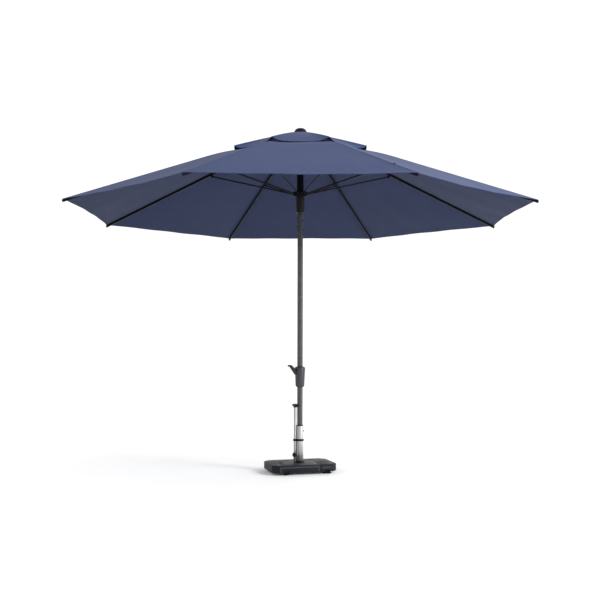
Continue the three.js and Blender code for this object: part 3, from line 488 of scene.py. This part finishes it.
def cloth(name, index, point, length, width, count):
    """One closed sheet of cloth centred on a rib, with its seam and hem standing proud.
    width is half a panel's, and count is the number of rows above the hem."""
    half = cloth_columns(width)
    columns = [(-share, -1) for share in reversed(half[1:])] + [(share, 1) for share in half]
    rows = cloth_rows(length, count)
    turn = Matrix.Rotation(azimuth(index), 3, "Z")
    shape = bmesh.new()
    uv = shape.loops.layers.uv.new("cloth")
    flat = {}
    top, under = [], []
    for grid in (top, under):
        for row in rows:
            line = []
            for signed, side in columns:
                spot, reach, edge = point(index, row, abs(signed), side)
                from_ridge = abs(signed) * reach * math.sin(HALF_SECTOR)
                proud = RELIEF if from_ridge < SEAM_HALF or edge - reach < HEM else 0.0
                lift = CLOTH + proud if grid is top else -UNDER_RELIEF * proud
                vertex = shape.verts.new(turn @ (spot + Vector((0, 0, lift))))
                flat[vertex] = (math.copysign(from_ridge, signed or 1), reach * MAIN_STRETCH)
                line.append(vertex)
            grid.append(line)
    last_row, last_column = len(rows) - 1, len(columns) - 1
    for r in range(last_row):
        for c in range(last_column):
            shape.faces.new((top[r][c], top[r][c + 1], top[r + 1][c + 1], top[r + 1][c]))
            shape.faces.new((under[r][c], under[r + 1][c], under[r + 1][c + 1], under[r][c + 1]))
    for c in range(last_column):
        for r in (0, last_row):
            shape.faces.new((top[r][c], under[r][c], under[r][c + 1], top[r][c + 1]))
    for r in range(last_row):
        for c in (0, last_column):
            shape.faces.new((top[r + 1][c], under[r + 1][c], under[r][c], top[r][c]))
    beneath = {vertex for line in under for vertex in line}
    for face in shape.faces:
        # Faces underneath take the second material, the darker copy of the cloth that paints the shade under the
        # canopy
        face.material_index = int(all(vertex in beneath for vertex in face.verts))
        for corner in face.loops:
            corner[uv].uv = flat[corner.vert]
    return from_bmesh(name, shape)


def gather(made):
    """Gives the piece its own copy of its mesh."""
    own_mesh(made)


def stitched_line(name, points, body):
    """A row of short raised stitches along a polyline."""
    shape = bmesh.new()
    travelled = 0.0
    for start, end in zip(points, points[1:]):
        run = (end - start).length
        direction = (end - start).normalized()
        side = direction.cross(Vector((0, 0, 1))).normalized() * STITCH_WIDTH / 2
        while travelled < run:
            a = start + direction * travelled
            b = a + direction * min(STITCH_LENGTH, run - travelled)
            middle = (a + b) / 2 + Vector((0, 0, STITCH_HEIGHT))
            corners = [shape.verts.new(p) for p in (a - side, a + side, b + side, b - side)]
            peak = [shape.verts.new(middle - side * 0.5), shape.verts.new(middle + side * 0.5)]
            shape.faces.new((corners[0], corners[1], peak[1], peak[0]))
            shape.faces.new((corners[2], corners[3], peak[0], peak[1]))
            shape.faces.new((corners[1], corners[2], peak[1]))
            shape.faces.new((corners[3], corners[0], peak[0]))
            shape.faces.new((corners[3], corners[2], corners[1], corners[0]))
            travelled += STITCH_PITCH
        travelled -= run
    return piece(name, from_bmesh(name, shape), STITCH, body)


def build_canopy():
    main_length = (CANOPY_RADIUS - OPENING_RADIUS) * MAIN_STRETCH
    vent_length = (VENT_RADIUS - VENT_HOLE) * VENT_STRETCH
    main_width = 2 * CANOPY_RADIUS * math.sin(HALF_SECTOR)
    vent_width = 2 * VENT_RADIUS * math.sin(HALF_SECTOR)
    for index in range(RIB_COUNT):
        body = f"rib_{index + 1}"
        name = f"canopy_panel_{index + 1}"
        mesh = cloth(name, index, main_cloth_point, main_length, main_width / 2, 34)
        panel = piece(name, mesh, FABRIC, body, CLOTH_SMOOTH, SHADED_UNDERSIDE)
        gather(panel)
        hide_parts(f"canopy_sector_{index + 1}")
        name = f"vent_panel_{index + 1}"
        mesh = cloth(name, index, vent_cloth_point, vent_length, vent_width / 2, 14)
        vent = piece(name, mesh, FABRIC, body, CLOTH_SMOOTH, SHADED_UNDERSIDE)
        gather(vent)
        if index == 0:
            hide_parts("vent_cap")
        build_seam_stitches(index, body, main_length)
        build_hem_stitches(index, body)
        build_rib_tip(index, body)
    build_strap_snap(SNAP_RIB)


def on_cloth(index, x, y, height):
    """A point of a stitch on the seam or hem of the cloth over a rib."""
    return Matrix.Rotation(azimuth(index), 3, "Z") @ Vector((x, y, height + CLOTH + RELIEF - STITCH_SUNK))


def build_seam_stitches(index, body, main_length):
    """A stitch line on each side of the rib's seam, from the vent cap's edge to the hem."""
    for side, mark in ((-1, "a"), (1, "b")):
        points = []
        for row in spread(48, 0.19, 1 - HEM / main_length):
            reach = main_cloth_point(index, row, 0, side)[1]
            across = SEAM_HALF * 0.75 / (reach * math.sin(HALF_SECTOR))
            x, y = panel_point(reach, across, side)
            points.append(on_cloth(index, x, y, main_cloth_point(index, row, across, side)[0].z))
        gather(stitched_line(f"seam_stitches_{index + 1}_{mark}", points, body))


def build_hem_stitches(index, body):
    """The double-turned hem's stitch line, from mid-panel to mid-panel."""
    points = []
    for signed in spread(41, -1.0, 1.0):
        side = 1 if signed > 0 else -1
        edge = main_cloth_point(index, 1.0, abs(signed), side)[2]
        row = 1 - HEM * 0.9 / (edge - OPENING_RADIUS)
        points.append(on_cloth(index, *main_cloth_point(index, row, abs(signed), side)[0]))
    gather(stitched_line(f"hem_stitches_{index + 1}", points, body))


SNAP_RIB, SNAP_REACH = 6, 1.69
SNAP_PROFILE = [(0.0, 0.0), (0.009, 0.0), (0.009, 0.002), (0.007, 0.0045), (0.003, 0.0055), (0.0, 0.0055)]
CAP_HALF_WIDTH, CAP_HALF_DEPTH, CAP_CORNER = 0.0082, 0.011, 0.005
# Sections of a rib's end cap: distance past the rib's end, and share of the full section
CAP_STATIONS = [(-0.016, 0.94), (-0.015, 1.0), (0.002, 1.0), (0.006, 0.93), (0.008, 0.78), (0.009, 0.5)]


def along_rib(index, radius, height):
    """A placement on a rib's outer part, tipped to its slope."""
    place = Matrix.Rotation(azimuth(index), 4, "Z") @ Matrix.Translation((radius, 0, height))
    return place @ Matrix.Rotation(OUTER_SLOPE, 4, "Y")


def build_strap_snap(index):
    """The press stud of the closing strap, on top of the canopy over a rib."""
    height = rib_height(SNAP_REACH) + FABRIC_RISE + CLOTH + RELIEF
    mesh = revolved("snap", SNAP_PROFILE, 32, along_rib(index, SNAP_REACH, height))
    piece("strap_snap", mesh, BLACK, f"rib_{index + 1}")


def build_rib_tip(index, body):
    """A moulded cap on the rib's end, which holds the canopy's corner pocket."""
    box = [(a * CAP_HALF_WIDTH, b * CAP_HALF_DEPTH) for a, b in ((-1, -1), (1, -1), (1, 1), (-1, 1))]
    outline = rounded(box, CAP_CORNER, 4)
    shape = bmesh.new()
    rings = [[shape.verts.new((x, y * size, z * size)) for y, z in outline] for x, size in CAP_STATIONS]
    for low, high in zip(rings, rings[1:]):
        for k in range(len(outline)):
            following = (k + 1) % len(outline)
            shape.faces.new((low[k], low[following], high[following], high[k]))
    shape.faces.new(rings[0][::-1])
    shape.faces.new(rings[-1])
    shape.transform(along_rib(index, CANOPY_RADIUS, TIP_HEIGHT))
    piece(f"rib_end_cap_{index + 1}", from_bmesh("cap", shape), BLACK, body)


# ---------------------------------------------------------------- base trim
BASE_TOP, BASE_FRONT = 0.082, -0.190
BASE_SEAM_X = 0.123  # where the shell meets its end cover
BASE_TURN = Matrix.Rotation(BASE_YAW, 4, "Z")
SUNK = 0.002  # trim on the front reaches this far into the shell
SEATED = 0.0002  # trim on the top
TRIM_EDGE = 0.0006
BEAD_LEFT, BEAD_RIGHT, BEAD_LOW, BEAD_HIGH = -0.222, BASE_SEAM_X - 0.008, 0.024, 0.066
BEAD_WIDTH, BEAD_PROUD, BEAD_GAP = 0.004, 0.0014, 0.0002
SLAT_ROWS, SLAT_COLUMNS = 3, 9
SLAT_LENGTH, SLAT_HEIGHT, SLAT_PROUD = 0.0066, 0.0034, 0.0012
SLAT_X, SLAT_PITCH_X = BASE_SEAM_X + 0.012, 0.0102
SLAT_Z, SLAT_PITCH_Z = 0.046, 0.0072
SCREW_SPOTS = ((-0.225, -0.13), (-0.225, 0.13), (0.09, -0.14), (0.09, 0.14), (0.235, -0.11), (0.235, 0.11))
SCREW_PROFILE = [(0, 0), (0.0055, 0), (0.0052, 0.0014), (0.003, 0.0022), (0, 0.0022)]
FILLER_X = -0.17
FILLER_PROFILE = [(0, 0), (0.019, 0), (0.019, 0.003), (0.0165, 0.0045), (0.012, 0.0045)]
FILLER_PROFILE += [(0.0105, 0.003), (0, 0.003)]


def soft_box(shape, low, high, edge):
    """Adds a box with its edges rounded to a mesh."""
    made = bmesh.ops.create_cube(shape, size=1.0)
    corners = made["verts"]
    for vertex in corners:
        vertex.co = [a + (b - a) * (c + 0.5) for a, b, c in zip(low, high, vertex.co)]
    edges = list({e for vertex in corners for e in vertex.link_edges})
    bmesh.ops.bevel(shape, geom=edges, offset=edge, segments=2, affect="EDGES")


def build_base_trim():
    build_front_bead()
    build_slats()
    build_lid_trim()


def build_front_bead():
    """Raised bead along the top and both ends of the front panel."""
    bead = bmesh.new()
    proud, sunk, top = BASE_FRONT - BEAD_PROUD, BASE_FRONT + SUNK, BEAD_HIGH - BEAD_WIDTH
    soft_box(bead, (BEAD_LEFT, proud, top), (BEAD_RIGHT, sunk, BEAD_HIGH), TRIM_EDGE)
    for left in (BEAD_LEFT, BEAD_RIGHT - BEAD_WIDTH):
        soft_box(bead, (left, proud, BEAD_LOW), (left + BEAD_WIDTH, sunk, top - BEAD_GAP), TRIM_EDGE)
    bead.transform(BASE_TURN)
    piece("front_panel_bead", from_bmesh("bead", bead), BASE_PALE_TRIM, "base")


def build_slats():
    """Grip slats on the end cover's front."""
    slats = bmesh.new()
    for row in range(SLAT_ROWS):
        for column in range(SLAT_COLUMNS):
            x = SLAT_X + column * SLAT_PITCH_X
            z = SLAT_Z + row * SLAT_PITCH_Z
            low = (x, BASE_FRONT - SLAT_PROUD, z)
            soft_box(slats, low, (x + SLAT_LENGTH, BASE_FRONT + SUNK, z + SLAT_HEIGHT), TRIM_EDGE)
    slats.transform(BASE_TURN)
    piece("end_cover_slats", from_bmesh("slats", slats), BASE_PALE_TRIM, "base")


def build_lid_trim():
    """Screws and the filler cap on top of the base."""
    screws = bmesh.new()
    for x, y in SCREW_SPOTS:
        head = revolved("head", SCREW_PROFILE, 24, Matrix.Translation((x, y, BASE_TOP - SEATED)))
        screws.from_mesh(head)
        bpy.data.meshes.remove(head)
    screws.transform(BASE_TURN)
    piece("lid_screws", from_bmesh("screws", screws), STEEL, "base")
    place = BASE_TURN @ Matrix.Translation((FILLER_X, 0.0, BASE_TOP - SEATED))
    piece("filler_cap", revolved("cap", FILLER_PROFILE, 40, place), BLACK, "base")


# ---------------------------------------------------------------- stage, light, camera
FLOOR_HALF_WIDTH, FLOOR_FRONT, FLOOR_BACK = 30.0, -30.0, 9.0
CURVE_RADIUS, BACKDROP_HEIGHT = 6.0, 24.0


def build_stage():
    """A floor that curves up into a backdrop."""
    line = [(FLOOR_FRONT, 0.0), (FLOOR_BACK, 0.0)]
    for angle in spread(12, 0.1, math.pi / 2):
        line.append((FLOOR_BACK + CURVE_RADIUS * math.sin(angle), CURVE_RADIUS * (1 - math.cos(angle))))
    line.append((FLOOR_BACK + CURVE_RADIUS, BACKDROP_HEIGHT))
    shape = bmesh.new()
    rows = [[shape.verts.new((x, y, z)) for x in (-FLOOR_HALF_WIDTH, FLOOR_HALF_WIDTH)] for y, z in line]
    for low, high in zip(rows, rows[1:]):
        shape.faces.new((low[0], low[1], high[1], high[0]))
    mesh = bpy.data.meshes.new("studio")
    shape.to_mesh(mesh)
    shape.free()
    look = Look("studio_floor", 0.9)
    speck = look.noise(look.coordinates(), scale=3.0, detail=2.0)
    look.colour(look.ramp(speck, [(0.3, linear(243, 243, 243)), (0.7, linear(245, 245, 245))]))
    mesh.materials.append(look.material)
    mesh.shade_smooth()
    floor = bpy.data.objects.new("studio", mesh)
    bpy.context.scene.collection.objects.link(floor)


def area_light(name, place, target, size, power):
    """A round lamp that faces a target. Power is in watts."""
    data = bpy.data.lights.new(name, "AREA")
    data.shape = "DISK"
    data.size = size
    data.energy = power
    lamp = bpy.data.objects.new(name, data)
    lamp.location = place
    lamp.rotation_euler = (Vector(target) - Vector(place)).to_track_quat("-Z", "Y").to_euler()
    bpy.context.scene.collection.objects.link(lamp)
    return data


WORLD_STRENGTH = 1.15
STRIP_HEIGHT = 3.6


def build_light():
    """White air all round, a key and a tall strip from the right, and a weak back light."""
    world = bpy.data.worlds.new("studio_air")
    world.use_nodes = True
    air = world.node_tree.nodes["Background"]
    air.inputs["Color"].default_value = (1, 1, 1, 1)
    air.inputs["Strength"].default_value = WORLD_STRENGTH
    bpy.context.scene.world = world
    area_light("key", place=(7.5, -3.5, 5.5), target=(0, 0, 1.8), size=3.5, power=520)
    area_light("back", place=(3.0, 6.5, 5.5), target=(0, 0, 1.6), size=4.0, power=120)
    strip = area_light("strip", place=(5.0, -2.6, 1.5), target=(0, 0, 1.5), size=0.9, power=95)
    strip.shape = "ELLIPSE"
    strip.size_y = STRIP_HEIGHT


CAMERA_PLACE = (-0.001, -7.454, 1.127)
CAMERA_PITCH = math.radians(2.635)
CAMERA_ROLL = math.radians(0.12)
SENSOR_WIDTH = 36.0  # millimetres
FOCAL_SHARE = 1.4401  # focal length over sensor width


def build_camera():
    data = bpy.data.cameras.new("camera")
    data.sensor_width = SENSOR_WIDTH
    data.lens = SENSOR_WIDTH * FOCAL_SHARE
    data.clip_end = 100
    camera = bpy.data.objects.new("camera", data)
    camera.location = CAMERA_PLACE
    tilt = Matrix.Rotation(math.pi / 2 + CAMERA_PITCH, 4, "X") @ Matrix.Rotation(CAMERA_ROLL, 4, "Z")
    camera.rotation_euler = tilt.to_euler()
    bpy.context.scene.collection.objects.link(camera)
    bpy.context.scene.camera = camera
    bpy.context.scene.view_settings.view_transform = "Standard"


build_camera()
build_stage()
build_light()
dress_cad_nodes()
build_canopy()
build_base_trim()
